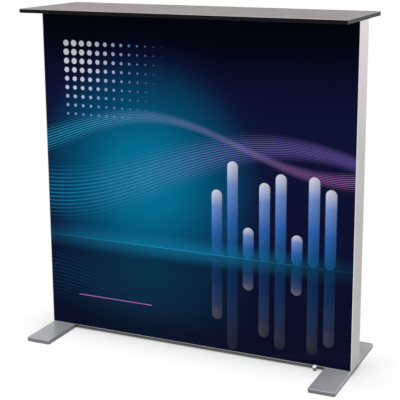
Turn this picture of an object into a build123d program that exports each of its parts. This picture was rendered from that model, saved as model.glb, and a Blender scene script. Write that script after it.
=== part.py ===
from build123d import *
import os

# An exhibition counter: a mitred aluminium frame with a silicone-edged fabric graphic stretched over
# each face, a lift-off laminate worktop and two steel foot plates.
# Millimetres. X runs along the front, the front faces -Y, Z is up, and the origin is on the floor
# under the middle of the counter.

os.makedirs("parts", exist_ok=True)

# Frame, over its outer faces
frame_width = 1000.0
frame_height = 1000.0
frame_depth = 80.0

# Frame extrusion
outer_wall = 1.8
outer_corner_radius = 0.6
box_wall = 1.6
profile_height = 27.0
groove_width = 3.4
groove_depth = 15.0
groove_inner_wall = 1.5
groove_inner_setback = 1.0
groove_lead_in = 0.5
channel_height = 4.6
channel_slot = 9.0
centre_groove = 6.8

# Corner brackets and the grub screws that lock the front ones
bracket_length = 90.0
bracket_clearance = 0.3
grub_radius = 3.0
grub_length = 6.0
grub_reach = 55.0
grub_socket_across = 3.0
grub_socket_depth = 2.5
thread_clearance = 0.05

# Centre brace, its end shoes and their screws
brace_width = 20.0
brace_depth = 40.0
brace_wall = 1.5
brace_corner_radius = 1.5
shoe_plate = 3.0
shoe_length = 62.0
shoe_width = 46.0
spigot_length = 25.0
spigot_clearance = 0.3
shoe_screw_radius = 2.5
shoe_screw_length = 8.0
shoe_screw_edge = 10.0
shoe_screw_clearance = 0.3
hex_head_across = 8.0
hex_head_height = 3.5
slot_nut_length = 16.0

# Graphics, their silicone strips and pull tabs
fabric_thickness = 0.5
fabric_edge_gap = 0.8
strip_clearance = 0.2
strip_depth = 14.0
strip_corner_gap = 12.0
tab_width = 12.0
tab_thickness = 0.5
tab_drop_clearance = 0.1
tab_floor_clearance = 0.3
tab_bend_radius = 2.0
tab_reach = 8.0
tab_from_side = 108.0

# Foot plates, their pads, screws and nut plates
foot_width = 80.0
foot_length = 385.0
foot_thickness = 12.0
foot_corner_radius = 6.0
foot_edge_chamfer = 1.5
pad_width = 20.0
pad_recess = 1.0
pad_proud = 0.5
pad_clearance = 0.2
pad_from_side = 18.0
pad_from_end = 25.0
foot_screw_radius = 4.0
foot_screw_length = 20.0
foot_screw_spacing = 32.0
foot_screw_clearance = 0.5
countersink_radius = 7.9
countersink_sink = 0.3
countersink_clearance = 0.15
foot_socket_across = 5.0
foot_socket_depth = 2.5
nut_plate_length = 54.0
nut_plate_thickness = 6.0
nut_plate_clearance = 1.4

# Worktop board, its skins and edge bands
worktop_depth = 315.0
worktop_thickness = 12.0
laminate = 0.8
edge_band = 1.5
edge_band_radius = 1.0

# Locating studs under the worktop and their threaded inserts
stud_radius = 5.0
stud_drop = 8.0
stud_tip_chamfer = 2.0
stud_shank_radius = 3.0
stud_shank_length = 7.0
stud_clearance = 0.3
stud_from_middle = 330.0
insert_length = 8.0
insert_clearance = 0.1

# Widths, heights and places that follow
worktop_width = frame_width
foot_top = pad_proud + foot_thickness
frame_bottom = foot_top
frame_top = frame_bottom + frame_height
frame_middle = frame_bottom + frame_height / 2
box_half = frame_depth / 2 - groove_depth
channel_floor = profile_height - box_wall - channel_height
channel_width = box_half - 2 * box_wall - centre_groove / 2
channel_middle = box_half - box_wall - channel_width / 2
foot_middle = frame_width / 2 - foot_width / 2
bracket_inner_radius = 3 * bracket_clearance
stud_places = (-stud_from_middle, stud_from_middle)

# Each member is drawn lying along X with its outer face up at z = 0, and these put it in its place.
top_place = Pos(0, 0, frame_top)
bottom_place = Pos(0, 0, frame_bottom) * Rot(0, 180, 0)
left_place = Pos(-frame_width / 2, 0, frame_middle) * Rot(0, -90, 0)
right_place = Pos(frame_width / 2, 0, frame_middle) * Rot(0, 90, 0)
members = (
    (top_place, frame_width),
    (bottom_place, frame_width),
    (left_place, frame_height),
    (right_place, frame_height),
)


def save(name, *solids):
    shape = solids[0] if len(solids) == 1 else Compound(children=list(solids))
    export_step(shape, f"parts/{name}.step")


def area(y_low, y_high, z_low, z_high):
    centre = Pos((y_low + y_high) / 2, (z_low + z_high) / 2)
    return centre * Rectangle(y_high - y_low, z_high - z_low)


def block(x_low, x_high, y_low, y_high, z_low, z_high):
    centre = Pos((x_low + x_high) / 2, (y_low + y_high) / 2, (z_low + z_high) / 2)
    return centre * Box(x_high - x_low, y_high - y_low, z_high - z_low)


def rod(x, y, z_low, z_high, radius):
    return Pos(x, y, (z_low + z_high) / 2) * Cylinder(radius, z_high - z_low)


def hexagon(x, y, z_low, z_high, across):
    outline = RegularPolygon(across / 2, 6, major_radius=False)
    return Pos(x, y, z_low) * extrude(outline, amount=z_high - z_low)


# The section of the frame extrusion, across Y and down from the outer face. The box in the middle
# carries the load, its two slotted channels take the corner brackets with a plain groove between
# them, and the fins at its sides make the grooves that hold the silicone strips.
def frame_section():
    half = frame_depth / 2
    inside = box_half - box_wall
    section = area(-half, half, -outer_wall, 0)
    section += area(-box_half, box_half, -profile_height, 0)
    section -= area(-inside, inside, box_wall - channel_floor, -outer_wall)
    section -= area(-centre_groove / 2, centre_groove / 2, -profile_height, -channel_floor)
    slot_low = channel_middle - channel_slot / 2
    divider = inside - channel_width
    fin_top = outer_wall + groove_width
    fin_end = half - groove_inner_setback
    for side in (-1, 1):
        channel = area(divider, inside, box_wall - profile_height, -channel_floor)
        channel += area(slot_low, slot_low + channel_slot, -profile_height, box_wall - profile_height)
        fin = area(box_half, fin_end, -fin_top - groove_inner_wall, -fin_top)
        if side < 0:
            channel = mirror(channel, about=Plane.YZ)
            fin = mirror(fin, about=Plane.YZ)
        section = section - channel + fin
    tips = section.vertices().filter_by(lambda v: abs(v.X) > fin_end - groove_inner_wall)
    lips = tips.filter_by(lambda v: v.Y > -outer_wall / 2)
    section = fillet(lips, outer_corner_radius)
    mouths = section.vertices().filter_by(lambda v: abs(abs(v.X) - fin_end) < groove_lead_in / 2)
    mouths = mouths.filter_by(lambda v: v.Y > -fin_top - groove_inner_wall / 2)
    return chamfer(mouths, groove_lead_in)


# One side of the frame, cut to 45 degrees at both ends.
def frame_member(length):
    bar = extrude(Plane.YZ * frame_section(), amount=length / 2, both=True)
    long_end = length / 2
    short_end = length / 2 - profile_height
    outline = Polyline(
        (-long_end, 0), (long_end, 0), (short_end, -profile_height), (-short_end, -profile_height), close=True
    )
    mitres = extrude(Plane.XZ * make_face(outline), amount=frame_depth, both=True)
    return (bar & mitres).solid()


def top_rail():
    rail = frame_member(frame_width)
    for x in stud_places:
        rail -= rod(x, 0, -outer_wall - stud_clearance, stud_clearance, stud_radius + stud_clearance)
    return top_place * rail


def bottom_rail():
    rail = frame_member(frame_width)
    for side in (-1, 1):
        for x in foot_screw_places(side):
            hole = foot_screw_radius + foot_screw_clearance
            rail -= rod(x, 0, -outer_wall - foot_screw_clearance, foot_screw_clearance, hole)
    return bottom_place * rail


def foot_screw_places(side):
    return [side * foot_middle + step * foot_screw_spacing / 2 for step in (-1, 1)]


# How far from the middle of a member its two grub screws stand.
def grub_place(length):
    return length / 2 - channel_floor - bracket_clearance - grub_reach


def grub_screws():
    top = -channel_floor
    screw = rod(0, -channel_middle, top - grub_length, top, grub_radius)
    socket_end = top - grub_length + grub_socket_depth
    screw -= hexagon(0, -channel_middle, top - grub_length, socket_end, grub_socket_across)
    ends = [(place, end * grub_place(length)) for place, length in members for end in (-1, 1)]
    return [place * Pos(x, 0, 0) * screw for place, x in ends]


# One of the two L shaped brackets in a corner. across, up and back are the signs of the corner's X, its
# Z and the channel's Y. The front one is tapped for the grub screws, the rear one only lines up.
def corner_bracket(across, up, back):
    corner_x = frame_width / 2 - channel_floor - bracket_clearance
    corner_z = frame_height / 2 - channel_floor - bracket_clearance
    thickness = channel_height - 2 * bracket_clearance
    outline = Polyline(
        (corner_x, corner_z),
        (corner_x - bracket_length, corner_z),
        (corner_x - bracket_length, corner_z - thickness),
        (corner_x - thickness, corner_z - thickness),
        (corner_x - thickness, corner_z - bracket_length),
        (corner_x, corner_z - bracket_length),
        close=True,
    )
    face = make_face(outline)
    inner = face.vertices().sort_by_distance((corner_x - thickness, corner_z - thickness))[0]
    face = fillet(inner, bracket_inner_radius)
    width = channel_width - 2 * bracket_clearance
    bracket = Pos(0, back * channel_middle, 0) * extrude(Plane.XZ * face, amount=width / 2, both=True)
    if back < 0:
        hole = Pos(0, back * channel_middle, 0) * Cylinder(grub_radius + thread_clearance, 2 * channel_height)
        bracket -= Pos(grub_place(frame_width), 0, corner_z - thickness / 2) * hole
        bracket -= Pos(corner_x - thickness / 2, 0, grub_place(frame_height)) * Rot(0, 90, 0) * hole
    if across < 0:
        bracket = mirror(bracket, about=Plane.YZ)
    if up < 0:
        bracket = mirror(bracket, about=Plane.XY)
    return Pos(0, 0, frame_middle) * bracket


def centre_brace():
    length = frame_height - 2 * profile_height - 2 * shoe_plate
    tube = RectangleRounded(brace_width, brace_depth, brace_corner_radius)
    tube -= Rectangle(brace_width - 2 * brace_wall, brace_depth - 2 * brace_wall)
    return Pos(0, 0, frame_middle) * extrude(tube, amount=length / 2, both=True)


def shoe_screw_places():
    x = shoe_length / 2 - shoe_screw_edge
    return [(x, channel_middle), (-x, -channel_middle)]


# The cast shoe at each end of the brace, under a member: a plate with a hollow spigot for the tube.
def brace_shoe():
    low = -profile_height - shoe_plate
    shoe = block(-shoe_length / 2, shoe_length / 2, -shoe_width / 2, shoe_width / 2, low, -profile_height)
    play = 2 * (brace_wall + spigot_clearance)
    spigot = Rectangle(brace_width - play, brace_depth - play)
    spigot -= Rectangle(brace_width - play - 2 * shoe_plate, brace_depth - play - 2 * shoe_plate)
    shoe += Pos(0, 0, low - spigot_length) * extrude(spigot, amount=spigot_length)
    hole = shoe_screw_radius + shoe_screw_clearance
    for x, y in shoe_screw_places():
        shoe -= rod(x, y, low - shoe_screw_clearance, shoe_screw_clearance - profile_height, hole)
    return shoe


def shoe_screws():
    seat = -profile_height - shoe_plate
    screw = rod(0, 0, seat, seat + shoe_screw_length, shoe_screw_radius)
    screw += hexagon(0, 0, seat - hex_head_height, seat, hex_head_across)
    places = shoe_screw_places()
    return [place * Pos(x, y, 0) * screw for place in (top_place, bottom_place) for x, y in places]


def slot_nuts():
    low = box_wall - profile_height
    half_length = slot_nut_length / 2
    half_width = channel_width / 2 - bracket_clearance
    high = low + channel_height - bracket_clearance
    nut = block(-half_length, half_length, -half_width, half_width, low, high)
    nut -= rod(0, 0, low - bracket_clearance, low + channel_height, shoe_screw_radius + thread_clearance)
    places = shoe_screw_places()
    return [place * Pos(x, y, 0) * nut for place in (top_place, bottom_place) for x, y in places]


# The stretched graphic of the front, a flat panel between the lips of the frame.
def front_graphic():
    edge = outer_wall + fabric_edge_gap
    half = frame_width / 2 - edge
    front = -frame_depth / 2
    return block(-half, half, front, front + fabric_thickness, frame_bottom + edge, frame_top - edge)


# A silicone strip in the front groove of a member that lies along X, outer face up.
def silicone_strip(length):
    half = length / 2 - outer_wall - strip_corner_gap
    front = fabric_thickness - frame_depth / 2
    upper = -outer_wall - strip_clearance
    return block(-half, half, front, front + strip_depth, strip_clearance - outer_wall - groove_width, upper)


# The sewn pull tab: out between the bottom lip and the fabric, down over the lip and forward along
# the floor. The line is drawn in the YZ plane and thickened towards the front and the top.
def front_pull_tab():
    lip_top = frame_bottom + outer_wall + tab_drop_clearance
    front = -frame_depth / 2
    back = front + fabric_thickness
    low = tab_floor_clearance
    tip = front - tab_reach
    face_line = front - tab_drop_clearance
    outer = Polyline(
        (back, lip_top + tab_thickness),
        (face_line - tab_thickness, lip_top + tab_thickness),
        (face_line - tab_thickness, low + tab_thickness),
        (tip, low + tab_thickness),
        (tip, low),
        (face_line, low),
        (face_line, lip_top),
        (back, lip_top),
        close=True,
    )
    face = make_face(outer)
    shoulder = face.vertices().sort_by_distance((face_line - tab_thickness, lip_top + tab_thickness))[0]
    face = fillet(shoulder, tab_thickness)
    crease = face.vertices().sort_by_distance((face_line - tab_thickness, low + tab_thickness))[0]
    face = fillet(crease, tab_bend_radius)
    heel = face.vertices().sort_by_distance((face_line, low))[0]
    face = fillet(heel, tab_bend_radius + tab_thickness)
    middle = frame_width / 2 - tab_from_side
    return Pos(middle, 0, 0) * extrude(Plane.YZ * face, amount=tab_width / 2, both=True)


def pad_places(side):
    across = foot_width / 2 - pad_from_side
    along = foot_length / 2 - pad_from_end
    return [(side * foot_middle + x * across, y * along) for x in (-1, 1) for y in (-1, 1)]


# Half the angle of the countersink is 45 degrees, so the cone is as deep as it is wide.
def countersunk(x, z_low, wide, narrow, shank_end):
    depth = wide - narrow
    cone = Pos(x, 0, z_low) * Cone(wide, narrow, depth, align=(Align.CENTER, Align.CENTER, Align.MIN))
    return cone + rod(x, 0, z_low + depth, shank_end, narrow)


def foot_plate(side):
    plate = extrude(RectangleRounded(foot_width, foot_length, foot_corner_radius), amount=foot_thickness)
    rim = plate.faces().sort_by(Axis.Z)[-1].edges()
    plate = chamfer(rim, foot_edge_chamfer)
    plate = Pos(side * foot_middle, 0, pad_proud) * plate
    for x, y in pad_places(side):
        plate -= pad(x, y, pad_width + 2 * pad_clearance)
    wide = countersink_radius + countersink_clearance + countersink_sink
    narrow = foot_screw_radius + countersink_clearance
    for x in foot_screw_places(side):
        plate -= countersunk(x, pad_proud, wide, narrow, foot_top + foot_screw_clearance)
    return plate


def pad(x, y, width):
    half = width / 2
    return block(x - half, x + half, y - half, y + half, 0, pad_proud + pad_recess)


def foot_pads(side):
    return [pad(x, y, pad_width) for x, y in pad_places(side)]


def foot_screws():
    low = pad_proud + countersink_sink
    screws = []
    for side in (-1, 1):
        for x in foot_screw_places(side):
            screw = countersunk(x, low, countersink_radius, foot_screw_radius, low + foot_screw_length)
            screw -= hexagon(x, 0, low, low + foot_socket_depth, foot_socket_across)
            screws.append(screw)
    return screws


def nut_plate(side):
    half_length = nut_plate_length / 2
    half_width = box_half - box_wall - nut_plate_clearance
    low = frame_bottom + outer_wall
    high = low + nut_plate_thickness
    middle = side * foot_middle
    plate = block(middle - half_length, middle + half_length, -half_width, half_width, low, high)
    for x in foot_screw_places(side):
        plate -= rod(x, 0, low - outer_wall, high + outer_wall, foot_screw_radius + thread_clearance)
    return plate


def board(z_low, z_high):
    half_width = worktop_width / 2 - edge_band
    half_depth = worktop_depth / 2 - edge_band
    return block(-half_width, half_width, -half_depth, half_depth, z_low, z_high)


def worktop_core():
    core = board(frame_top + laminate, frame_top + worktop_thickness - laminate)
    hole_top = frame_top + insert_length + insert_clearance
    for x in stud_places:
        core -= rod(x, 0, frame_top, hole_top, stud_radius + insert_clearance)
    return core


def worktop_top_laminate():
    return board(frame_top + worktop_thickness - laminate, frame_top + worktop_thickness)


def worktop_under_laminate():
    sheet = board(frame_top, frame_top + laminate)
    for x in stud_places:
        sheet -= rod(x, 0, frame_top - laminate, frame_top + 2 * laminate, stud_radius + insert_clearance)
    return sheet


# A band along X with its outer face towards -Y, its two outer long edges rounded.
def edge_band_strip(length):
    strip = area(0, edge_band, 0, worktop_thickness)
    rounded = strip.vertices().filter_by(lambda v: v.X < edge_band / 2)
    strip = fillet(rounded, edge_band_radius)
    return extrude(Plane.YZ * strip, amount=length / 2, both=True)


def long_edge_band():
    return Pos(0, -worktop_depth / 2, frame_top) * edge_band_strip(worktop_width)


def short_edge_band():
    length = worktop_depth - 2 * edge_band
    return Pos(worktop_width / 2, 0, frame_top) * Rot(0, 0, 90) * edge_band_strip(length)


def worktop_studs():
    studs = []
    for x in stud_places:
        body = rod(x, 0, frame_top - stud_drop, frame_top, stud_radius)
        tip = body.faces().sort_by(Axis.Z)[0].edges()
        stud = chamfer(tip, stud_tip_chamfer)
        studs.append(stud + rod(x, 0, frame_top, frame_top + stud_shank_length, stud_shank_radius))
    return studs


def stud_inserts():
    inserts = []
    bore = stud_shank_radius + thread_clearance
    for x in stud_places:
        insert = rod(x, 0, frame_top, frame_top + insert_length, stud_radius)
        insert -= rod(x, 0, frame_top - insert_clearance, frame_top + insert_length + insert_clearance, bore)
        inserts.append(insert)
    return inserts


half_turn = Rot(0, 0, 180)

save("top_rail", top_rail())
save("bottom_rail", bottom_rail())
save("left_upright", left_place * frame_member(frame_height))
save("right_upright", right_place * frame_member(frame_height))
for up_name, up in (("bottom", -1), ("top", 1)):
    for across_name, across in (("left", -1), ("right", 1)):
        for back_name, back in (("front", -1), ("rear", 1)):
            save(f"{up_name}_{across_name}_{back_name}_bracket", corner_bracket(across, up, back))
save("bracket_grub_screws", *grub_screws())
save("centre_brace", centre_brace())
save("brace_top_shoe", top_place * brace_shoe())
save("brace_bottom_shoe", bottom_place * brace_shoe())
save("brace_screws", *shoe_screws())
save("brace_slot_nuts", *slot_nuts())
save("front_graphic", front_graphic())
save("rear_graphic", half_turn * front_graphic())
for strip_name, place, length in (
    ("top", top_place, frame_width),
    ("bottom", bottom_place, frame_width),
    ("left", left_place, frame_height),
    ("right", right_place, frame_height),
):
    save(f"front_{strip_name}_silicone_strip", place * silicone_strip(length))
    save(f"rear_{strip_name}_silicone_strip", place * half_turn * silicone_strip(length))
save("front_pull_tab", front_pull_tab())
save("rear_pull_tab", half_turn * front_pull_tab())
for side_name, side in (("left", -1), ("right", 1)):
    save(f"{side_name}_foot", foot_plate(side))
    save(f"{side_name}_foot_pads", *foot_pads(side))
    save(f"{side_name}_nut_plate", nut_plate(side))
save("foot_screws", *foot_screws())
save("worktop_core", worktop_core())
save("worktop_top_laminate", worktop_top_laminate())
save("worktop_under_laminate", worktop_under_laminate())
save("worktop_front_edge_band", long_edge_band())
save("worktop_rear_edge_band", half_turn * long_edge_band())
save("worktop_right_edge_band", short_edge_band())
save("worktop_left_edge_band", half_turn * short_edge_band())
save("worktop_studs", *worktop_studs())
save("stud_inserts", *stud_inserts())
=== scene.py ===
import math

import bmesh
import bpy
from mathutils import Matrix, Quaternion, Vector


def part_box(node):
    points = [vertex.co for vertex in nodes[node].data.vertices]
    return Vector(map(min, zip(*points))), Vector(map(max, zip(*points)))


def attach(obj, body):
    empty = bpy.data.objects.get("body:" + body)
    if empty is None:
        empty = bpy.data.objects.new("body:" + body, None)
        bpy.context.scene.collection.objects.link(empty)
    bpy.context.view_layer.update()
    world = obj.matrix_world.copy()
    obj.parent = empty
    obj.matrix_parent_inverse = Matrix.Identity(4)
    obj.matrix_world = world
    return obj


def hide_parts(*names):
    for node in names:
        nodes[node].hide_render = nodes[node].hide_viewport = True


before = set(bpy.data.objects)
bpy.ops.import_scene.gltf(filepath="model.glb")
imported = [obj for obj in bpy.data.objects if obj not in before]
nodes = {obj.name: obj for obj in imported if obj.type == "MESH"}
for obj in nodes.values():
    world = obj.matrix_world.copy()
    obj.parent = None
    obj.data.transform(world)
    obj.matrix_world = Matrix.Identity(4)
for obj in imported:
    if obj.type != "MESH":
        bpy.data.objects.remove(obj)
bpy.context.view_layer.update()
uprightLow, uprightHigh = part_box("right_upright")
print("stage: frame loaded,", len(nodes), "pieces")


def fromHex(text):  # sRGB hex to the linear colour that a socket takes
    parts = [int(text[i:i + 2], 16) / 255 for i in (1, 3, 5)]
    linear = [c / 12.92 if c <= 0.04045 else ((c + 0.055) / 1.055) ** 2.4 for c in parts]
    return (*linear, 1.0)


def add(tree, kind, inputs=None, stops=None, **settings):
    # One node, with its settings, its links and, on a ramp, its stops. By number, a Mix node has its share
    # in 0 and its colours in 6 and 7. A Map Range node has its value in 0, the span it maps from in 1 and 2,
    # and the span it maps to in 3 and 4, each 0 to 1 where it isn't given.
    node = tree.nodes.new(kind)
    for key, value in settings.items():
        setattr(node, key, value)
    for key, value in (inputs or {}).items():
        if isinstance(value, bpy.types.NodeSocket):
            tree.links.new(value, node.inputs[key])
        else:
            node.inputs[key].default_value = value
    if stops:
        ramp = node.color_ramp.elements
        ramp.remove(ramp[-1])
        ramp[0].position, ramp[0].color = stops[0][0], fromHex(stops[0][1])
        for place, colour in stops[1:]:
            ramp.new(place).color = fromHex(colour)
    return node


def newMaterial(name):
    material = bpy.data.materials.new(name)
    material.use_nodes = True
    material.node_tree.nodes.clear()
    return material, material.node_tree


def finishMaterial(tree, inputs):  # the shader that every finish ends in
    shader = add(tree, "ShaderNodeBsdfPrincipled", inputs)
    add(tree, "ShaderNodeOutputMaterial", {"Surface": shader.outputs[0]})


noise = {
    "span": (0.3, 0.7),  # most values of a noise texture lie between these
    "productSpan": (0.12, 0.4),  # and most of two of them multiplied lie between these
}

anodised = {
    "tones": ("#b4b2b2", "#bbb9b8"),
    "metallic": 0.85,
    "roughness": (0.48, 0.58),
    "linePitch": 0.0022,  # real die lines are 0.3 mm apart, drawn coarser so that they show
    "lineLength": 1.2,
    "lineDepth": 0.00001, "lineStrength": 0.5,
    "cloudsPerMetre": 5.0,  # the bath etches in blotches as wide as two hands
    "railArris": "#b4b2b2", "uprightArrisHighlight": "#e6e5e4",  # painted highlight on the uprights' outer arrises, where their rounded edges catch the light; the rails' arrises keep the plain darker tone
    "arrisFrom": 0.0392,  # distance from the middle of the frame's depth at which the arris starts
}


def anodisedAluminium(name, lengthAxis, arris):
    # Extruded, etched and clear anodised: an even satin grey with faint die lines along the bar, and the
    # given arris tone along the front and rear arrises, which on the uprights is a painted highlight
    material, tree = newMaterial(name)
    position = add(tree, "ShaderNodeTexCoord").outputs["Object"]
    stretch = [1 / anodised["linePitch"]] * 3
    stretch[lengthAxis] = 1 / anodised["lineLength"]
    along = add(tree, "ShaderNodeMapping", {"Vector": position, "Scale": stretch}).outputs[0]
    lines = add(tree, "ShaderNodeTexNoise", {"Vector": along, "Scale": 1.0, "Detail": 3.0}).outputs[0]
    cloud = add(tree, "ShaderNodeTexNoise", {
        "Vector": position, "Scale": anodised["cloudsPerMetre"], "Detail": 2.0,
    }).outputs[0]
    tone = add(tree, "ShaderNodeMath", {0: lines, 1: cloud}, operation="MULTIPLY").outputs[0]
    toneStops = list(zip(noise["productSpan"], anodised["tones"]))
    colour = add(tree, "ShaderNodeValToRGB", {0: tone}, toneStops).outputs[0]
    depth = add(tree, "ShaderNodeSeparateXYZ", {0: position}).outputs["Y"]
    fromMiddle = add(tree, "ShaderNodeMath", {0: depth}, operation="ABSOLUTE").outputs[0]
    # the arris band takes the given tone, which on the uprights is a painted highlight
    atArris = add(tree, "ShaderNodeMath", {
        0: fromMiddle, 1: anodised["arrisFrom"],
    }, operation="GREATER_THAN").outputs[0]
    toned = add(tree, "ShaderNodeMix", {
        0: atArris, 6: colour, 7: fromHex(arris),
    }, data_type="RGBA").outputs[2]
    low, high = noise["span"]
    smooth, dull = anodised["roughness"]
    rough = add(tree, "ShaderNodeMapRange", {0: lines, 1: low, 2: high, 3: smooth, 4: dull}).outputs[0]
    bump = add(tree, "ShaderNodeBump", {
        "Height": lines, "Distance": anodised["lineDepth"], "Strength": anodised["lineStrength"],
    }).outputs[0]
    finishMaterial(tree, {
        "Base Color": toned, "Metallic": anodised["metallic"], "Roughness": rough, "Normal": bump,
    })
    return material


plainFinishes = {
    # name: dark and light tone, metallic, roughness, specular, and the grain's pitch and depth in metres.
    # The grain is drawn a few times coarser than the real one, so that it shows.
    # raw extruded tube, slightly streaky
    "millFinishAluminium": (("#b4b5b6", "#c6c7c8"), 1.0, 0.34, 0.5, 0.004, 0.00001),
    # tumbled die casting, grainy and dull
    "castAluminium": (("#7f8182", "#97999a"), 0.9, 0.55, 0.5, 0.0015, 0.00005),
    # pressed and bright zinc plated
    "zincPlatedSteel": (("#a9acb0", "#c9ccce"), 1.0, 0.33, 0.5, 0.003, 0.00001),
    # turned, warm and bright
    "turnedBrass": (("#9c7a3a", "#b8944c"), 1.0, 0.28, 0.5, 0.002, 0.00001),
    # extruded silicone, milky and soft
    "siliconeRubber": (("#d9dee1", "#e8ecee"), 0.0, 0.38, 0.4, 0.006, 0.00001),
    # moulded rubber, black and matt
    "padRubber": (("#141415", "#202022"), 0.0, 0.85, 0.3, 0.001, 0.00005),
    # pressed wood fibre, brown and speckled
    "fibreboard": (("#6e5138", "#8f6f50"), 0.0, 0.9, 0.2, 0.0012, 0.00005),
    # extruded ABS edging, black, slight gloss
    "edgeBandAbs": (("#09080b", "#0c0b0e"), 0.0, 0.5, 0.09, 0.0016, 0.00001),
}
grain = {
    "cloudScale": 0.08,  # as a share of the grain's scale
    "roughnessSwing": 0.05,
    "strength": 0.6,
}
edgeBandHighlight = {
    "tones": {"edgeBandAbs": "#c4c2c2"},  # painted highlight on the edge band's rounded top arris, where it catches the light
    "slope": 0.6, "slopeWithin": 0.35,  # how far up the arris faces
}


def plainFinish(name):
    # An even finish: two close tones clouded by grain, and grain in the surface; on the edge band also a
    # painted highlight along its top arris
    tones, metallic, roughness, specular, pitch, depth = plainFinishes[name]
    material, tree = newMaterial(name)
    coordinates = add(tree, "ShaderNodeTexCoord").outputs
    position = coordinates["Object"]
    grains = add(tree, "ShaderNodeTexNoise", {
        "Vector": position, "Scale": 1 / pitch, "Detail": 3.0,
    }).outputs[0]
    cloud = add(tree, "ShaderNodeTexNoise", {
        "Vector": position, "Scale": grain["cloudScale"] / pitch, "Detail": 2.0,
    }).outputs[0]
    tone = add(tree, "ShaderNodeMath", {0: grains, 1: cloud}, operation="MULTIPLY").outputs[0]
    toneStops = list(zip(noise["productSpan"], tones))
    colour = add(tree, "ShaderNodeValToRGB", {0: tone}, toneStops).outputs[0]
    # painted highlight on faces that slope upwards, the rounded top arris
    if name in edgeBandHighlight["tones"]:
        upwards = add(tree, "ShaderNodeSeparateXYZ", {0: coordinates["Normal"]}).outputs["Z"]
        slope = add(tree, "ShaderNodeMath", {
            0: upwards, 1: edgeBandHighlight["slope"], 2: edgeBandHighlight["slopeWithin"],
        }, operation="COMPARE").outputs[0]
        colour = add(tree, "ShaderNodeMix", {
            0: slope, 6: colour, 7: fromHex(edgeBandHighlight["tones"][name]),
        }, data_type="RGBA").outputs[2]
    low, high = noise["span"]
    swing = grain["roughnessSwing"]
    rough = add(tree, "ShaderNodeMapRange", {
        0: grains, 1: low, 2: high, 3: roughness - swing, 4: roughness + swing,
    }).outputs[0]
    bump = add(tree, "ShaderNodeBump", {
        "Height": grains, "Distance": depth, "Strength": grain["strength"],
    }).outputs[0]
    finishMaterial(tree, {
        "Base Color": colour, "Metallic": metallic, "Roughness": rough,
        "Specular IOR Level": specular, "Normal": bump,
    })
    return material


powderCoat = {
    "tones": [  # by how far a face points up or down: painted shade, darkest on the side faces and lightest on the tops, as light falls from above.
        (0.0, "#757579"), (0.35, "#757579"), (0.5, "#949498"), (0.85, "#949498"), (0.95, "#a1a1a5"),
    ],
    "metallic": 0.2, "roughness": (0.42, 0.34),
    "cloudsPerMetre": 14.0, "cloudSpan": (0.35, 0.6), "clouding": 0.93,  # the spray's blotches, 7% darker
    "grainPitch": 0.0018,  # the coat's orange peel is about 1 mm, drawn coarser so that it shows
    "grainDepth": 0.00005, "grainStrength": 0.4,
    "flakePitch": 0.0008,  # metal flakes are under 0.1 mm, drawn as small clusters
    "glitterFrom": 0.8, "glitter": 1.2,  # one flake in five is painted lighter, a painted glint
}


def silverPowderCoat():
    # Steel plate, sprayed and baked: silver grey with metal flakes in it and a fine orange peel, with painted
    # shade on the faces that don't point up and a painted glint on some flakes
    material, tree = newMaterial("silverPowderCoat")
    coordinates = add(tree, "ShaderNodeTexCoord").outputs
    position = coordinates["Object"]
    peel = add(tree, "ShaderNodeTexNoise", {
        "Vector": position, "Scale": 1 / powderCoat["grainPitch"], "Detail": 2.0, "Roughness": 0.4,
    }).outputs[0]
    cloud = add(tree, "ShaderNodeTexNoise", {
        "Vector": position, "Scale": powderCoat["cloudsPerMetre"], "Detail": 2.0,
    }).outputs[0]
    upwards = add(tree, "ShaderNodeSeparateXYZ", {0: coordinates["Normal"]}).outputs["Z"]
    tilt = add(tree, "ShaderNodeMath", {0: upwards}, operation="ABSOLUTE").outputs[0]
    # painted shade: side faces darker than the tops, as light falls from above
    shadedCoat = add(tree, "ShaderNodeValToRGB", {0: tilt}, powderCoat["tones"]).outputs[0]
    flakes = add(tree, "ShaderNodeTexVoronoi", {"Vector": position, "Scale": 1 / powderCoat["flakePitch"]})
    level = add(tree, "ShaderNodeSeparateColor", {0: flakes.outputs["Color"]}).outputs[0]
    # painted glint: the brightest flake cells get a lighter base colour
    flakeGlint = add(tree, "ShaderNodeMapRange", {
        0: level, 1: powderCoat["glitterFrom"], 3: 1.0, 4: powderCoat["glitter"],
    }).outputs[0]
    low, high = powderCoat["cloudSpan"]
    worn = add(tree, "ShaderNodeMapRange", {
        0: cloud, 1: low, 2: high, 3: powderCoat["clouding"], 4: 1.0,
    }).outputs[0]
    both = add(tree, "ShaderNodeMath", {0: flakeGlint, 1: worn}, operation="MULTIPLY").outputs[0]
    colour = add(tree, "ShaderNodeVectorMath", {0: shadedCoat, "Scale": both}, operation="SCALE").outputs[0]
    dull, smooth = powderCoat["roughness"]
    rough = add(tree, "ShaderNodeMapRange", {0: level, 3: dull, 4: smooth}).outputs[0]
    bump = add(tree, "ShaderNodeBump", {
        "Height": peel, "Distance": powderCoat["grainDepth"], "Strength": powderCoat["grainStrength"],
    }).outputs[0]
    finishMaterial(tree, {
        "Base Color": colour, "Metallic": powderCoat["metallic"], "Roughness": rough, "Normal": bump,
    })
    return material


laminate = {
    "tones": ("#211e1f", "#262224"),
    "cloudsPerMetre": 22.0,  # soft marks of wiping, a few centimetres wide
    "roughness": (0.30, 0.36),
    "pearlPitch": 0.003,  # the pressed pearl texture is about 1 mm, drawn coarser so that it shows
    "pearlDepth": 0.00005, "pearlStrength": 0.3,
    "sheen": 0.07, "sheenRoughness": 0.3, "sheenTint": "#f08a9a",
}


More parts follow.
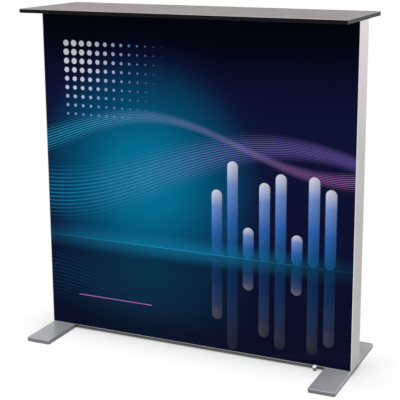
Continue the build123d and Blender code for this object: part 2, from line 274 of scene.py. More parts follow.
def blackLaminate():
    # High pressure laminate pressed with a fine pearl texture: black, greying where light grazes it
    material, tree = newMaterial("blackLaminate")
    position = add(tree, "ShaderNodeTexCoord").outputs["Object"]
    pearls = add(tree, "ShaderNodeTexVoronoi", {"Vector": position, "Scale": 1 / laminate["pearlPitch"]})
    cloud = add(tree, "ShaderNodeTexNoise", {
        "Vector": position, "Scale": laminate["cloudsPerMetre"], "Detail": 4.0,
    }).outputs[0]
    toneStops = list(zip(noise["span"], laminate["tones"]))
    colour = add(tree, "ShaderNodeValToRGB", {0: cloud}, toneStops).outputs[0]
    low, high = noise["span"]
    smooth, dull = laminate["roughness"]
    rough = add(tree, "ShaderNodeMapRange", {0: cloud, 1: low, 2: high, 3: smooth, 4: dull}).outputs[0]
    bump = add(tree, "ShaderNodeBump", {
        "Height": pearls.outputs["Distance"],
        "Distance": laminate["pearlDepth"], "Strength": laminate["pearlStrength"],
    }).outputs[0]
    finishMaterial(tree, {
        "Base Color": colour, "Roughness": rough, "Normal": bump,
        "Sheen Weight": laminate["sheen"], "Sheen Roughness": laminate["sheenRoughness"],
        "Sheen Tint": fromHex(laminate["sheenTint"]),
    })
    return material


# The print. Its places are in metres, across from the middle of the front, and up from the horizon. Under the
# horizon is a shining floor that mirrors what is over it.
artwork = {
    "horizon": 0.309, "halfWidth": 0.5,
    "softEdge": 0.001,
    "floor": "#080c26", "floorDepth": -0.26, "floorDim": (0.97, 0.7),  # at that depth, and at the horizon
}
glow = {
    "background": [(0.0, "#0a0f2f"), (0.43, "#0c1134"), (0.53, "#090c2a"), (0.64, "#030617")],
    "centre": (-0.158, 0.21, 0.0), "reach": 0.42,
    "colours": [
        (0.0, "#00789c"), (0.27, "#006b90"), (0.53, "#014c70"),
        (0.72, "#053759"), (0.88, "#0a1d42"), (1.0, "#0b1338"),
    ],
    "fade": (0.7, 1.1),
}


def glowingBackground(tree, over, place):
    # Near black at the top, navy at the sides, and a teal glow behind the motifs
    background = add(tree, "ShaderNodeValToRGB", {0: over}, glow["background"]).outputs[0]
    away = add(tree, "ShaderNodeVectorMath", {0: place, 1: glow["centre"]}, operation="SUBTRACT").outputs[0]
    distance = add(tree, "ShaderNodeVectorMath", {0: away}, operation="LENGTH").outputs["Value"]
    share = add(tree, "ShaderNodeMath", {0: distance, 1: glow["reach"]}, operation="DIVIDE").outputs[0]
    colour = add(tree, "ShaderNodeValToRGB", {0: share}, glow["colours"]).outputs[0]
    start, end = glow["fade"]
    near = add(tree, "ShaderNodeMapRange", {
        0: share, 1: start, 2: end, 3: 1.0, 4: 0.0,
    }, interpolation_type="SMOOTHSTEP").outputs[0]
    return add(tree, "ShaderNodeMix", {0: near, 6: background, 7: colour}, data_type="RGBA").outputs[2]


waves = {
    "thread": (0.08, 0.26),  # from the middle of a strand, where its full colour ends and where it is gone
    "fade": (0.1, 1.0), "strength": 0.75,
    "breathing": (0.7, 1.1),  # rate and shift of the widening, against the swing
    "colourSpan": (0.1, 0.9),
    "ribbons": [
        {
            "middle": 0.24, "swing": 0.10, "perMetre": 0.62, "shift": 0.4, "spread": (0.025, 0.11),
            "strands": 9.0, "colours": ("#0f7fa6", "#8a6fd0"),
        },
        {
            "middle": 0.33, "swing": 0.07, "perMetre": 0.85, "shift": 2.3, "spread": (0.015, 0.06),
            "strands": 6.0, "colours": ("#2aa9cf", "#b070c0"),
        },
    ],
}


def waveRibbon(tree, across, over, under, ribbon):
    # A bundle of fine strands that swings across the print and narrows where it turns
    angle = add(tree, "ShaderNodeMath", {
        0: across, 1: ribbon["perMetre"] * 2 * math.pi, 2: ribbon["shift"],
    }, operation="MULTIPLY_ADD").outputs[0]
    wave = add(tree, "ShaderNodeMath", {0: angle}, operation="SINE").outputs[0]
    line = add(tree, "ShaderNodeMath", {
        0: wave, 1: ribbon["swing"], 2: ribbon["middle"],
    }, operation="MULTIPLY_ADD").outputs[0]
    rate, shift = waves["breathing"]
    slow = add(tree, "ShaderNodeMath", {0: angle, 1: rate, 2: shift}, operation="MULTIPLY_ADD").outputs[0]
    breathing = add(tree, "ShaderNodeMath", {0: slow}, operation="COSINE").outputs[0]
    narrow, wide = ribbon["spread"]
    spread = add(tree, "ShaderNodeMapRange", {0: breathing, 1: -1.0, 2: 1.0, 3: narrow, 4: wide}).outputs[0]
    offset = add(tree, "ShaderNodeMath", {0: over, 1: line}, operation="SUBTRACT").outputs[0]
    share = add(tree, "ShaderNodeMath", {0: offset, 1: spread}, operation="DIVIDE").outputs[0]
    comb = add(tree, "ShaderNodeMath", {0: share, 1: ribbon["strands"]}, operation="MULTIPLY").outputs[0]
    saw = add(tree, "ShaderNodeMath", {0: comb}, operation="FRACT").outputs[0]
    centred = add(tree, "ShaderNodeMath", {0: saw, 1: 0.5}, operation="SUBTRACT").outputs[0]
    strand = add(tree, "ShaderNodeMath", {0: centred}, operation="ABSOLUTE").outputs[0]
    full, gone = waves["thread"]
    thread = add(tree, "ShaderNodeMapRange", {0: strand, 1: full, 2: gone, 3: 1.0, 4: 0.0}).outputs[0]
    away = add(tree, "ShaderNodeMath", {0: share}, operation="ABSOLUTE").outputs[0]
    start, end = waves["fade"]
    fade = add(tree, "ShaderNodeMapRange", {
        0: away, 1: start, 2: end, 3: waves["strength"], 4: 0.0,
    }, interpolation_type="SMOOTHSTEP").outputs[0]
    mask = add(tree, "ShaderNodeMath", {0: thread, 1: fade}, operation="MULTIPLY").outputs[0]
    fromLeft = add(tree, "ShaderNodeMath", {0: across, 1: artwork["halfWidth"]}, operation="ADD").outputs[0]
    colourStops = list(zip(waves["colourSpan"], ribbon["colours"]))
    colour = add(tree, "ShaderNodeValToRGB", {0: fromLeft}, colourStops).outputs[0]
    return add(tree, "ShaderNodeMix", {0: mask, 6: under, 7: colour}, data_type="RGBA").outputs[2]


def roundedShape(tree, offset, half, rounding, edge):
    # 1 inside a box of that half size with rounded corners, 0 outside, and between them a soft edge
    folded = add(tree, "ShaderNodeVectorMath", {0: offset}, operation="ABSOLUTE").outputs[0]
    past = add(tree, "ShaderNodeVectorMath", {0: folded, 1: half}, operation="SUBTRACT").outputs[0]
    inner = add(tree, "ShaderNodeVectorMath", {
        0: past, 1: (rounding, rounding, 0.0),
    }, operation="ADD").outputs[0]
    outside = add(tree, "ShaderNodeVectorMath", {
        0: inner, 1: (0.0, 0.0, 0.0),
    }, operation="MAXIMUM").outputs[0]
    length = add(tree, "ShaderNodeVectorMath", {0: outside}, operation="LENGTH").outputs["Value"]
    return add(tree, "ShaderNodeMapRange", {
        0: length, 1: rounding - edge, 2: rounding + edge, 3: 1.0, 4: 0.0,
    }).outputs[0]


bars = {
    "start": 0.055, "pitch": 0.05, "count": 8, "width": 0.033,
    "middle": 0.2, "swing": 0.11, "step": 2.2,  # a bar's height is middle + swing * sin(its number * step)
    "solidity": 0.9,
    "colours": [(0.0, "#0a4a78"), (0.4, "#2f66b4"), (0.75, "#7090d0"), (1.0, "#dcdcec")],
    "shadeFrom": 0.2, "shadeTo": 0.8, "shade": (1.12, 0.72),  # lighter on the left, darker on the right
}


def risingBars(tree, across, over, under):
    # Round-topped bars that stand on the horizon, each of its own height
    start = add(tree, "ShaderNodeMath", {0: across, 1: bars["start"]}, operation="SUBTRACT").outputs[0]
    count = add(tree, "ShaderNodeMath", {0: start, 1: bars["pitch"]}, operation="DIVIDE").outputs[0]
    cell = add(tree, "ShaderNodeMath", {0: count}, operation="FLOOR").outputs[0]
    inCell = add(tree, "ShaderNodeMath", {0: count}, operation="FRACT").outputs[0]
    halfPitch = bars["pitch"] / 2
    side = add(tree, "ShaderNodeMapRange", {0: inCell, 3: -halfPitch, 4: halfPitch}).outputs[0]
    turn = add(tree, "ShaderNodeMath", {0: cell, 1: bars["step"]}, operation="MULTIPLY").outputs[0]
    wave = add(tree, "ShaderNodeMath", {0: turn}, operation="SINE").outputs[0]
    height = add(tree, "ShaderNodeMath", {
        0: wave, 1: bars["swing"], 2: bars["middle"],
    }, operation="MULTIPLY_ADD").outputs[0]
    halfHeight = add(tree, "ShaderNodeMath", {0: height, 1: 0.5}, operation="MULTIPLY").outputs[0]
    rise = add(tree, "ShaderNodeMath", {0: over, 1: halfHeight}, operation="SUBTRACT").outputs[0]
    offset = add(tree, "ShaderNodeCombineXYZ", {0: side, 1: rise}).outputs[0]
    halfWidth = bars["width"] / 2
    half = add(tree, "ShaderNodeCombineXYZ", {0: halfWidth, 1: halfHeight}).outputs[0]
    shape = roundedShape(tree, offset, half, halfWidth, artwork["softEdge"])
    first = add(tree, "ShaderNodeMath", {0: cell, 1: -0.5}, operation="GREATER_THAN").outputs[0]
    last = add(tree, "ShaderNodeMath", {0: cell, 1: bars["count"] - 0.5}, operation="LESS_THAN").outputs[0]
    inside = add(tree, "ShaderNodeMath", {0: first, 1: last}, operation="MULTIPLY").outputs[0]
    mask = add(tree, "ShaderNodeMath", {0: shape, 1: inside}, operation="MULTIPLY").outputs[0]
    solid = add(tree, "ShaderNodeMath", {0: mask, 1: bars["solidity"]}, operation="MULTIPLY").outputs[0]
    level = add(tree, "ShaderNodeMath", {0: over, 1: height}, operation="DIVIDE").outputs[0]
    body = add(tree, "ShaderNodeValToRGB", {0: level}, bars["colours"]).outputs[0]
    light, dark = bars["shade"]
    glassy = add(tree, "ShaderNodeMapRange", {
        0: inCell, 1: bars["shadeFrom"], 2: bars["shadeTo"], 3: light, 4: dark,
    }).outputs[0]
    colour = add(tree, "ShaderNodeVectorMath", {0: body, "Scale": glassy}, operation="SCALE").outputs[0]
    return add(tree, "ShaderNodeMix", {0: solid, 6: under, 7: colour}, data_type="RGBA").outputs[2]


dots = {
    "pitch": 0.027, "radius": 0.0105, "edge": 0.0009,
    "largestAt": (-0.40, 0.59, 0.0), "reach": 0.34,
    "field": (-0.25, 0.49, 0.0), "fieldHalf": (0.175, 0.12, 0.0), "fieldRounding": 0.002,
    "colours": [(0.0, "#e4e3ec"), (0.3, "#d0d3ea"), (0.6, "#7090d0"), (0.9, "#b070c0")],
}


def dotField(tree, place, under):
    # Rows of dots that shrink away from one corner, white there, then blue and lilac
    cells = add(tree, "ShaderNodeVectorMath", {
        0: place, "Scale": 1 / dots["pitch"],
    }, operation="SCALE").outputs[0]
    cell = add(tree, "ShaderNodeVectorMath", {0: cells}, operation="FLOOR").outputs[0]
    middle = add(tree, "ShaderNodeVectorMath", {0: cell, 1: (0.5, 0.5, 0.0)}, operation="ADD").outputs[0]
    centre = add(tree, "ShaderNodeVectorMath", {
        0: middle, "Scale": dots["pitch"],
    }, operation="SCALE").outputs[0]
    offset = add(tree, "ShaderNodeVectorMath", {0: place, 1: centre}, operation="DISTANCE").outputs["Value"]
    away = add(tree, "ShaderNodeVectorMath", {
        0: centre, 1: dots["largestAt"],
    }, operation="DISTANCE").outputs["Value"]
    share = add(tree, "ShaderNodeMath", {0: away, 1: dots["reach"]}, operation="DIVIDE").outputs[0]
    radius = add(tree, "ShaderNodeMapRange", {0: share, 3: dots["radius"], 4: 0.0}).outputs[0]
    inside = add(tree, "ShaderNodeMath", {0: radius, 1: offset}, operation="SUBTRACT").outputs[0]
    dot = add(tree, "ShaderNodeMapRange", {0: inside, 2: dots["edge"]}).outputs[0]
    fromMiddle = add(tree, "ShaderNodeVectorMath", {
        0: centre, 1: dots["field"],
    }, operation="SUBTRACT").outputs[0]
    field = roundedShape(tree, fromMiddle, dots["fieldHalf"], dots["fieldRounding"], artwork["softEdge"])
    mask = add(tree, "ShaderNodeMath", {0: dot, 1: field}, operation="MULTIPLY").outputs[0]
    colour = add(tree, "ShaderNodeValToRGB", {0: share}, dots["colours"]).outputs[0]
    return add(tree, "ShaderNodeMix", {0: mask, 6: under, 7: colour}, data_type="RGBA").outputs[2]


accent = {"centre": (-0.27, -0.19, 0.0), "half": (0.13, 0.0013, 0.0), "edge": 0.0005, "colour": "#b070c0"}


def accentLine(tree, across, height, under):
    # A short lilac line in the floor
    place = add(tree, "ShaderNodeCombineXYZ", {0: across, 1: height}).outputs[0]
    offset = add(tree, "ShaderNodeVectorMath", {
        0: place, 1: accent["centre"],
    }, operation="SUBTRACT").outputs[0]
    mask = roundedShape(tree, offset, accent["half"], accent["half"][1], accent["edge"])
    colour = fromHex(accent["colour"])
    return add(tree, "ShaderNodeMix", {0: mask, 6: under, 7: colour}, data_type="RGBA").outputs[2]


shine = {
    "colour": "#1b97c8",
    "thickness": 0.0035,
    "halo": 0.35, "haloReach": 0.05,
    "brightestAt": -0.08, "reach": 0.62, "strength": (0.9, 0.08),  # there, and at the end of its reach
}


def horizonLine(tree, across, over, under):
    # The bright edge of the shining floor, strongest left of the middle
    near = add(tree, "ShaderNodeMapRange", {0: over, 2: shine["thickness"], 3: 1.0, 4: 0.0}).outputs[0]
    halo = add(tree, "ShaderNodeMapRange", {
        0: over, 2: shine["haloReach"], 3: shine["halo"], 4: 0.0,
    }, interpolation_type="SMOOTHSTEP").outputs[0]
    both = add(tree, "ShaderNodeMath", {0: near, 1: halo}, operation="MAXIMUM").outputs[0]
    offset = add(tree, "ShaderNodeMath", {
        0: across, 1: shine["brightestAt"],
    }, operation="SUBTRACT").outputs[0]
    away = add(tree, "ShaderNodeMath", {0: offset}, operation="ABSOLUTE").outputs[0]
    strongest, weakest = shine["strength"]
    along = add(tree, "ShaderNodeMapRange", {
        0: away, 2: shine["reach"], 3: strongest, 4: weakest,
    }, interpolation_type="SMOOTHSTEP").outputs[0]
    mask = add(tree, "ShaderNodeMath", {0: both, 1: along}, operation="MULTIPLY").outputs[0]
    colour = fromHex(shine["colour"])
    return add(tree, "ShaderNodeMix", {0: mask, 6: under, 7: colour}, data_type="RGBA").outputs[2]


def frontArtwork(tree, position):
    # What is drawn over the horizon, mirrored and dimmed in the floor under it
    axes = add(tree, "ShaderNodeSeparateXYZ", {0: position}).outputs
    across = axes["X"]
    height = add(tree, "ShaderNodeMath", {
        0: axes["Z"], 1: artwork["horizon"],
    }, operation="SUBTRACT").outputs[0]
    over = add(tree, "ShaderNodeMath", {0: height}, operation="ABSOLUTE").outputs[0]
    place = add(tree, "ShaderNodeCombineXYZ", {0: across, 1: over}).outputs[0]
    colour = glowingBackground(tree, over, place)
    for ribbon in waves["ribbons"]:
        colour = waveRibbon(tree, across, over, colour, ribbon)
    colour = risingBars(tree, across, over, colour)
    colour = dotField(tree, place, colour)
    deepest, shallowest = artwork["floorDim"]
    below = add(tree, "ShaderNodeMapRange", {
        0: height, 1: artwork["floorDepth"], 2: 0.0, 3: deepest, 4: shallowest,
    }).outputs[0]
    isBelow = add(tree, "ShaderNodeMath", {0: height, 1: 0.0}, operation="LESS_THAN").outputs[0]
    dim = add(tree, "ShaderNodeMath", {0: below, 1: isBelow}, operation="MULTIPLY").outputs[0]
    floorColour = fromHex(artwork["floor"])
    colour = add(tree, "ShaderNodeMix", {0: dim, 6: colour, 7: floorColour}, data_type="RGBA").outputs[2]
    colour = accentLine(tree, across, height, colour)
    return horizonLine(tree, across, over, colour)


rearColours = [  # by the height over the floor in metres
    (0.0, "#0a1438"), (0.45, "#0a1032"), (0.8, "#070a24"), (1.0, "#030617"),
]


def rearArtwork(tree, position):
    # Navy that deepens upwards, as round the motifs in front
    height = add(tree, "ShaderNodeSeparateXYZ", {0: position}).outputs["Z"]
    return add(tree, "ShaderNodeValToRGB", {0: height}, rearColours).outputs[0]


knit = {
    "loopPitch": 0.0013, "loopHeight": 0.0026,  # real loops are 0.5 mm wide, drawn coarser so that they show
    "loopDepth": 0.0001, "loopStrength": 0.35,
    "fading": (0.93, 1.07),  # how much darker and lighter the dye sits in and on the loops
    "roughness": 0.86, "specular": 0.02,
    "sheen": 0.01, "sheenRoughness": 0.5,
}


def printedKnit(name, printed):
    # Knitted polyester, dye printed: matt, with a fine loop texture and hardly any sheen
    material, tree = newMaterial(name)
    position = add(tree, "ShaderNodeTexCoord").outputs["Object"]
    colour = printed(tree, position)
    stretch = [1 / knit["loopPitch"], 1 / knit["loopPitch"], 1 / knit["loopHeight"]]
    scaled = add(tree, "ShaderNodeMapping", {"Vector": position, "Scale": stretch}).outputs[0]
    loops = add(tree, "ShaderNodeTexNoise", {"Vector": scaled, "Scale": 1.0, "Detail": 1.0}).outputs[0]
    low, high = noise["span"]
    dark, light = knit["fading"]
    worn = add(tree, "ShaderNodeMapRange", {0: loops, 1: low, 2: high, 3: dark, 4: light}).outputs[0]
    toned = add(tree, "ShaderNodeVectorMath", {0: colour, "Scale": worn}, operation="SCALE").outputs[0]
    bump = add(tree, "ShaderNodeBump", {
        "Height": loops, "Distance": knit["loopDepth"], "Strength": knit["loopStrength"],
    }).outputs[0]
    finishMaterial(tree, {
        "Base Color": toned, "Roughness": knit["roughness"], "Specular IOR Level": knit["specular"],
        "Sheen Weight": knit["sheen"], "Sheen Roughness": knit["sheenRoughness"], "Normal": bump,
    })
    return material


ribbonWeave = {
    "white": "#f3f4f8", "grey": "#505050",
    "shadeBelow": 0.0067, "shadeEdge": 0.0004,  # height over the floor under which the painted shade starts, and half the width of the change
    "ribPitch": 0.0009,  # woven ribs are 0.4 mm apart, drawn coarser so that they show
    "ribDepth": 0.0001, "ribStrength": 0.5, "ribWander": 0.2,
    "roughness": 0.55, "sheen": 0.15,
}


def wovenRibbon():
    # Woven polyester tape: white and slightly shiny, its lower tail painted dark grey as painted shade, where
    # it lies in shadow by the floor
    material, tree = newMaterial("wovenRibbon")
    position = add(tree, "ShaderNodeTexCoord").outputs["Object"]
    height = add(tree, "ShaderNodeSeparateXYZ", {0: position}).outputs["Z"]
    change, half = ribbonWeave["shadeBelow"], ribbonWeave["shadeEdge"]
    # painted shade: the tape turns dark grey below this height
    isWhite = add(tree, "ShaderNodeMapRange", {
        0: height, 1: change - half, 2: change + half,
    }).outputs[0]
    colour = add(tree, "ShaderNodeMix", {
        0: isWhite, 6: fromHex(ribbonWeave["grey"]), 7: fromHex(ribbonWeave["white"]),
    }, data_type="RGBA").outputs[2]
    ribScale = 2 * math.pi / 20 / ribbonWeave["ribPitch"]  # at scale 1 the wave turns by 20 radians a metre
    ribs = add(tree, "ShaderNodeTexWave", {
        "Vector": position, "Scale": ribScale, "Distortion": ribbonWeave["ribWander"],
    }, wave_type="BANDS", bands_direction="X").outputs[0]
    bump = add(tree, "ShaderNodeBump", {
        "Height": ribs, "Distance": ribbonWeave["ribDepth"], "Strength": ribbonWeave["ribStrength"],
    }).outputs[0]
    finishMaterial(tree, {
        "Base Color": colour, "Roughness": ribbonWeave["roughness"], "Sheen Weight": ribbonWeave["sheen"],
        "Normal": bump,
    })
    return material


railFinish = anodisedAluminium("anodisedAluminiumRail", 0, anodised["railArris"])
uprightFinish = anodisedAluminium("anodisedAluminiumUpright", 2, anodised["uprightArrisHighlight"])
finishes = {name: plainFinish(name) for name in plainFinishes}
footFinish = silverPowderCoat()
laminateFinish = blackLaminate()
frontPrint = printedKnit("printedKnitFront", frontArtwork)
rearPrint = printedKnit("printedKnitRear", rearArtwork)
ribbonFinish = wovenRibbon()

nodeFinishes = {
    "top_rail": railFinish, "bottom_rail": railFinish,
    "left_upright": uprightFinish, "right_upright": uprightFinish,
    "centre_brace": finishes["millFinishAluminium"],
    "brace_top_shoe": finishes["castAluminium"], "brace_bottom_shoe": finishes["castAluminium"],
    "left_foot": footFinish, "right_foot": footFinish,
    "left_foot_pads": finishes["padRubber"], "right_foot_pads": finishes["padRubber"],
    "worktop_core": finishes["fibreboard"],
    "worktop_top_laminate": laminateFinish, "worktop_under_laminate": laminateFinish,
    "stud_inserts": finishes["turnedBrass"],
    "front_graphic": frontPrint, "rear_graphic": rearPrint,
    "front_pull_tab": ribbonFinish, "rear_pull_tab": ribbonFinish,
}
for name, node in nodes.items():
    if name.endswith("_edge_band"):
        finish = finishes["edgeBandAbs"]
    elif name.endswith("_silicone_strip"):
        finish = finishes["siliconeRubber"]
    elif name.endswith(("_bracket", "_plate", "_nuts", "_studs", "_screws")):
        finish = finishes["zincPlatedSteel"]
    else:
        finish = nodeFinishes[name]
    node.data.materials.clear()
    node.data.materials.append(finish)
print("stage: finishes on the frame's pieces")


def settle(piece, material):  # turns a piece with modifiers into a plain, smooth mesh
    bpy.context.view_layer.update()
    graph = bpy.context.evaluated_depsgraph_get()
    data = bpy.data.meshes.new_from_object(piece.evaluated_get(graph))
    piece.modifiers.clear()
    piece.data = data
    data.materials.clear()
    data.materials.append(material)
    data.shade_smooth()


graphic = {
    "cells": 110, "bendCells": 5, "hemCells": 3,
    "bend": 0.0011,  # how tightly the knit turns into the groove
    "hem": 0.0125,  # how far it reaches in beside the silicone strip
    "besideStrip": 0.0002,
    "thickness": 0.0003,
    # shallow scallops, where the strip pulls
    "puckerDepth": 0.00015, "puckerPitch": 0.058, "puckerReach": 0.03, "puckerStart": 0.008,
    "flatSize": 1.024,  # side of the square of knit before it is fitted
}


def graphicTree():
    # A grid whose middle stays flat and whose rim turns back into the groove. Its X and Y count its cells.
    tree = bpy.data.node_groups.new("stretchedGraphic", "GeometryNodeTree")
    for name in ("Flat Half", "Bend", "Hem", "Pucker Depth", "Pucker Pitch", "Pucker Reach"):
        tree.interface.new_socket(name, in_out="INPUT", socket_type="NodeSocketFloat")
    tree.interface.new_socket("Knit", in_out="INPUT", socket_type="NodeSocketMaterial")
    tree.interface.new_socket("Graphic", in_out="OUTPUT", socket_type="NodeSocketGeometry")
    given = add(tree, "NodeGroupInput").outputs
    bendAt = graphic["cells"] / 2
    hemAt = bendAt + graphic["bendCells"]
    rim = hemAt + graphic["hemCells"]
    size = 2 * rim
    grid = add(tree, "GeometryNodeMeshGrid", {
        "Size X": size, "Size Y": size, "Vertices X": int(size) + 1, "Vertices Y": int(size) + 1,
    }).outputs["Mesh"]
    spot = add(tree, "ShaderNodeSeparateXYZ", {0: add(tree, "GeometryNodeInputPosition").outputs[0]}).outputs
    places, outs, depths, beyond = [], [], [], []
    for axis in ("X", "Y"):  # along each: flat, then a quarter turn, then straight back
        step = add(tree, "ShaderNodeMath", {0: spot[axis]}, operation="ABSOLUTE").outputs[0]
        side = add(tree, "ShaderNodeMath", {0: spot[axis]}, operation="SIGN").outputs[0]
        flat = add(tree, "ShaderNodeMapRange", {0: step, 2: bendAt, 4: given["Flat Half"]}).outputs[0]
        angle = add(tree, "ShaderNodeMapRange", {0: step, 1: bendAt, 2: hemAt, 4: math.pi / 2}).outputs[0]
        hem = add(tree, "ShaderNodeMapRange", {0: step, 1: hemAt, 2: rim, 4: given["Hem"]}).outputs[0]
        sine = add(tree, "ShaderNodeMath", {0: angle}, operation="SINE").outputs[0]
        cosine = add(tree, "ShaderNodeMath", {0: angle}, operation="COSINE").outputs[0]
        back = add(tree, "ShaderNodeMath", {0: 1.0, 1: cosine}, operation="SUBTRACT").outputs[0]
        out = add(tree, "ShaderNodeMath", {
            0: sine, 1: given["Bend"], 2: flat,
        }, operation="MULTIPLY_ADD").outputs[0]
        depth = add(tree, "ShaderNodeMath", {
            0: back, 1: given["Bend"], 2: hem,
        }, operation="MULTIPLY_ADD").outputs[0]
        outs.append(out)
        depths.append(depth)
        places.append(add(tree, "ShaderNodeMath", {0: out, 1: side}, operation="MULTIPLY").outputs[0])
        beyond.append(add(tree, "ShaderNodeMath", {0: step, 1: hemAt}, operation="GREATER_THAN").outputs[0])
    depth = add(tree, "ShaderNodeMath", {0: depths[0], 1: depths[1]}, operation="MAXIMUM").outputs[0]
    for along, out in ((places[0], outs[1]), (places[1], outs[0])):  # scallops that die away from each edge
        away = add(tree, "ShaderNodeMath", {0: given["Flat Half"], 1: out}, operation="SUBTRACT").outputs[0]
        rise = add(tree, "ShaderNodeMapRange", {
            0: away, 2: graphic["puckerStart"], 4: given["Pucker Depth"],
        }).outputs[0]
        share = add(tree, "ShaderNodeMath", {
            0: away, 1: given["Pucker Reach"],
        }, operation="DIVIDE").outputs[0]
        fade = add(tree, "ShaderNodeMath", {0: math.exp(-1), 1: share}, operation="POWER").outputs[0]
        turns = add(tree, "ShaderNodeMath", {
            0: along, 1: given["Pucker Pitch"],
        }, operation="DIVIDE").outputs[0]
        phase = add(tree, "ShaderNodeMath", {
            0: turns, 1: 2 * math.pi, 2: share,
        }, operation="MULTIPLY_ADD").outputs[0]
        wave = add(tree, "ShaderNodeMath", {0: phase}, operation="COSINE").outputs[0]
        swell = add(tree, "ShaderNodeMath", {0: wave, 1: 0.5, 2: 0.5}, operation="MULTIPLY_ADD").outputs[0]
        height = add(tree, "ShaderNodeMath", {0: rise, 1: fade}, operation="MULTIPLY").outputs[0]
        depth = add(tree, "ShaderNodeMath", {
            0: height, 1: swell, 2: depth,
        }, operation="MULTIPLY_ADD").outputs[0]
    corner = add(tree, "ShaderNodeMath", {0: beyond[0], 1: beyond[1]}, operation="MULTIPLY").outputs[0]
    cut = add(tree, "GeometryNodeDeleteGeometry", {
        "Geometry": grid, "Selection": corner,
    }, domain="FACE").outputs[0]
    fitted = add(tree, "ShaderNodeCombineXYZ", {0: places[0], 1: depth, 2: places[1]}).outputs[0]
    shaped = add(tree, "GeometryNodeSetPosition", {"Geometry": cut, "Position": fitted}).outputs[0]
    whole = add(tree, "GeometryNodeRealizeInstances", {0: shaped}).outputs[0]
    done = add(tree, "GeometryNodeSetMaterial", {"Geometry": whole, "Material": given["Knit"]}).outputs[0]
    add(tree, "NodeGroupOutput", {0: done})
    return tree


def stretchedGraphic(name, stripName, tree, material):  # fitted to the front of the frame
    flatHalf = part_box(stripName)[1].x + graphic["besideStrip"] - graphic["bend"]
    piece = bpy.data.objects.new(name, bpy.data.meshes.new(name))
    bpy.context.scene.collection.objects.link(piece)
    shape = piece.modifiers.new("shape", "NODES")
    shape.node_group = tree
    values = {
        "Flat Half": flatHalf, "Bend": graphic["bend"], "Hem": graphic["hem"], "Knit": material,
        "Pucker Depth": graphic["puckerDepth"], "Pucker Pitch": graphic["puckerPitch"],
        "Pucker Reach": graphic["puckerReach"],
    }
    for socket in tree.interface.items_tree:
        if socket.name in values:
            shape[socket.identifier] = values[socket.name]
    solid = piece.modifiers.new("thickness", "SOLIDIFY")
    solid.thickness = graphic["thickness"]
    solid.offset = -1.0
    settle(piece, material)
    middle = (uprightLow.z + uprightHigh.z) / 2
    piece.data.transform(Matrix.Translation((0, uprightLow.y, middle)))
    return piece


pullTab = {
    "width": 0.0105, "thickness": 0.0005,
    "cells": 14, "smoothing": 2,
    "length": 0.0202,  # along its middle, as far as it shows
    "drop": [  # distance in front of the frame, height over the floor, and drift sideways
        (-0.0004, 0.01462, 0.0), (0.0006, 0.01467, -0.0001), (0.0016, 0.01377, -0.0005),
        (0.0021, 0.0113, -0.0016), (0.0023, 0.0088, -0.0027), (0.0025, 0.0068, -0.0029),
        (0.0029, 0.0051, -0.0014), (0.0036, 0.0033, 0.0003), (0.0050, 0.0018, 0.0006),
        (0.0068, 0.0010, 0.0004), (0.0088, 0.0008, 0.0002),
    ],
}


def ribbonTab(name, node, material):  # out of the gap over the lip, down over it, and forward along the floor
    low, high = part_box(node)
    middle = (low.x + high.x) / 2
    cells = pullTab["cells"]
    mesh = bmesh.new()
    rows = []
    for ahead, height, drift in pullTab["drop"]:
        across = [middle + drift + pullTab["width"] * (i / cells - 0.5) for i in range(cells + 1)]
        rows.append([mesh.verts.new((x, uprightLow.y - ahead, height)) for x in across])
    for a, b in zip(rows, rows[1:]):
        for i in range(cells):
            mesh.faces.new((a[i], b[i], b[i + 1], a[i + 1]))
    data = bpy.data.meshes.new(name)
    mesh.to_mesh(data)
    mesh.free()
    piece = bpy.data.objects.new(name, data)
    bpy.context.scene.collection.objects.link(piece)
    smooth = piece.modifiers.new("smooth", "SUBSURF")
    smooth.levels = smooth.render_levels = pullTab["smoothing"]
    solid = piece.modifiers.new("thickness", "SOLIDIFY")
    solid.thickness = pullTab["thickness"]
    solid.offset = 0.0
    settle(piece, material)
    return piece


knitTree = graphicTree()
for side, finish in (("front", frontPrint), ("rear", rearPrint)):
    cloth = stretchedGraphic(side + "Graphic", "front_right_silicone_strip", knitTree, finish)
    tab = ribbonTab(side + "PullTab", "front_pull_tab", ribbonFinish)
    if side == "rear":  # the rear ones are the front ones turned half round
        for piece in (cloth, tab):
            piece.data.transform(Matrix.Rotation(math.pi, 4, "Z"))
    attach(cloth, "stand")
    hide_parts(side + "_graphic")
    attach(tab, "stand")
    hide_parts(side + "_pull_tab")
print("stage: graphics and pull tabs")

camera = {
    "place": (1.2831, -2.7298, 1.2524),
    "azimuth": 23.913, "elevation": 12.530, "roll": -0.094,  # degrees
    "lens": 93.670, "sensor": 36.0, "shift": (-0.05, -0.10),
    "farthest": 60.0,
}


def addCamera():
    azimuth, elevation = math.radians(camera["azimuth"]), math.radians(camera["elevation"])
    level = math.cos(elevation)
    ahead = Vector((-math.sin(azimuth) * level, math.cos(azimuth) * level, -math.sin(elevation)))
    roll = Quaternion((0, 0, 1), math.radians(camera["roll"]))
    data = bpy.data.cameras.new("camera")
    data.lens, data.sensor_width = camera["lens"], camera["sensor"]
    data.shift_x, data.shift_y = camera["shift"]
    data.clip_end = camera["farthest"]
    eye = bpy.data.objects.new("camera", data)
    eye.location = camera["place"]
    eye.rotation_mode = "QUATERNION"
    eye.rotation_quaternion = ahead.to_track_quat("-Z", "Y") @ roll
    bpy.context.scene.collection.objects.link(eye)
    bpy.context.scene.camera = eye


lamps = {
    # name: place, aimed at, width and height, watts
    "overheadLamp": ((0.2, -1.3, 3.3), (0.1, -0.3, 0.0), (3.0, 2.0), 66.0),
    "sideLamp": ((2.0, 2.4, 1.3), (0.5, 0.0, 0.9), (1.2, 1.6), 15.5),
}


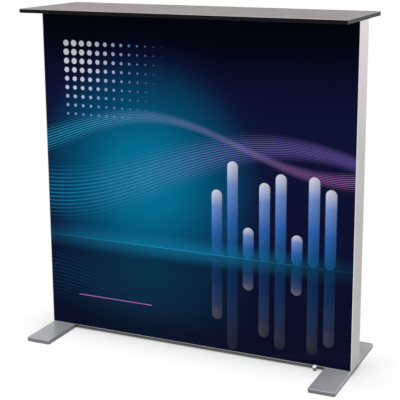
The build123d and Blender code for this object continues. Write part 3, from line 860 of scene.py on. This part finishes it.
def addLamps():
    for name, (place, aim, size, watts) in lamps.items():
        data = bpy.data.lights.new(name, "AREA")
        data.shape = "RECTANGLE"
        data.size, data.size_y = size
        data.energy = watts
        lamp = bpy.data.objects.new(name, data)
        lamp.location = place
        lamp.visible_camera = False
        lamp.rotation_mode = "QUATERNION"
        lamp.rotation_quaternion = (Vector(aim) - Vector(place)).to_track_quat("-Z", "Y")
        bpy.context.scene.collection.objects.link(lamp)


room = {
    "light": 0.82,  # strength of the white world where it only lights, and 1 where it shows
    "white": "#ffffff", "floorColour": "#c6c6c6", "floorHalf": 14.0,
    "footprint": (0.5, 0.031, 0.0),  # half the size of the place that the frame hides
    "whiteWithin": 0.14, "whiteCurve": 0.25,  # the floor turns white over this distance from it
}


def whereSeen(tree):  # 1 for rays that show the studio itself, 0 for those that only carry its light
    path = add(tree, "ShaderNodeLightPath").outputs
    seen = path["Is Camera Ray"]
    for kind in ("Is Glossy Ray", "Is Transmission Ray"):
        seen = add(tree, "ShaderNodeMath", {0: seen, 1: path[kind]}, operation="MAXIMUM").outputs[0]
    return seen


def addWorld():
    world = bpy.data.worlds.new("studio")
    bpy.context.scene.world = world
    world.use_nodes = True
    tree = world.node_tree
    tree.nodes.clear()
    strength = add(tree, "ShaderNodeMapRange", {0: whereSeen(tree), 3: room["light"], 4: 1.0}).outputs[0]
    sky = add(tree, "ShaderNodeBackground", {0: fromHex(room["white"]), 1: strength}).outputs[0]
    add(tree, "ShaderNodeOutputWorld", {0: sky})


def addFloor():  # pale under the frame, where its shadow stays, and white further out
    data = bpy.data.meshes.new("floor")
    half = room["floorHalf"]
    corners = [(-half, -half, 0), (half, -half, 0), (half, half, 0), (-half, half, 0)]
    data.from_pydata(corners, [], [(0, 1, 2, 3)])
    floor = bpy.data.objects.new("floor", data)
    bpy.context.scene.collection.objects.link(floor)
    material, tree = newMaterial("paleFloor")
    position = add(tree, "ShaderNodeTexCoord").outputs["Object"]
    folded = add(tree, "ShaderNodeVectorMath", {0: position}, operation="ABSOLUTE").outputs[0]
    past = add(tree, "ShaderNodeVectorMath", {
        0: folded, 1: room["footprint"],
    }, operation="SUBTRACT").outputs[0]
    outside = add(tree, "ShaderNodeVectorMath", {
        0: past, 1: (0.0, 0.0, 0.0),
    }, operation="MAXIMUM").outputs[0]
    distance = add(tree, "ShaderNodeVectorMath", {0: outside}, operation="LENGTH").outputs["Value"]
    far = add(tree, "ShaderNodeMapRange", {0: distance, 2: room["whiteWithin"]}).outputs[0]
    whiteness = add(tree, "ShaderNodeMath", {0: far, 1: room["whiteCurve"]}, operation="POWER").outputs[0]
    share = add(tree, "ShaderNodeMath", {0: whiteness, 1: whereSeen(tree)}, operation="MULTIPLY").outputs[0]
    matt = add(tree, "ShaderNodeBsdfDiffuse", {"Color": fromHex(room["floorColour"])}).outputs[0]
    plain = add(tree, "ShaderNodeEmission", {"Color": fromHex(room["white"])}).outputs[0]
    mixed = add(tree, "ShaderNodeMixShader", {0: share, 1: matt, 2: plain}).outputs[0]
    add(tree, "ShaderNodeOutputMaterial", {"Surface": mixed})
    data.materials.append(material)


addCamera()
addLamps()
addWorld()
addFloor()
bpy.context.scene.view_settings.view_transform = "Standard"
print("stage: camera, lamps and floor")
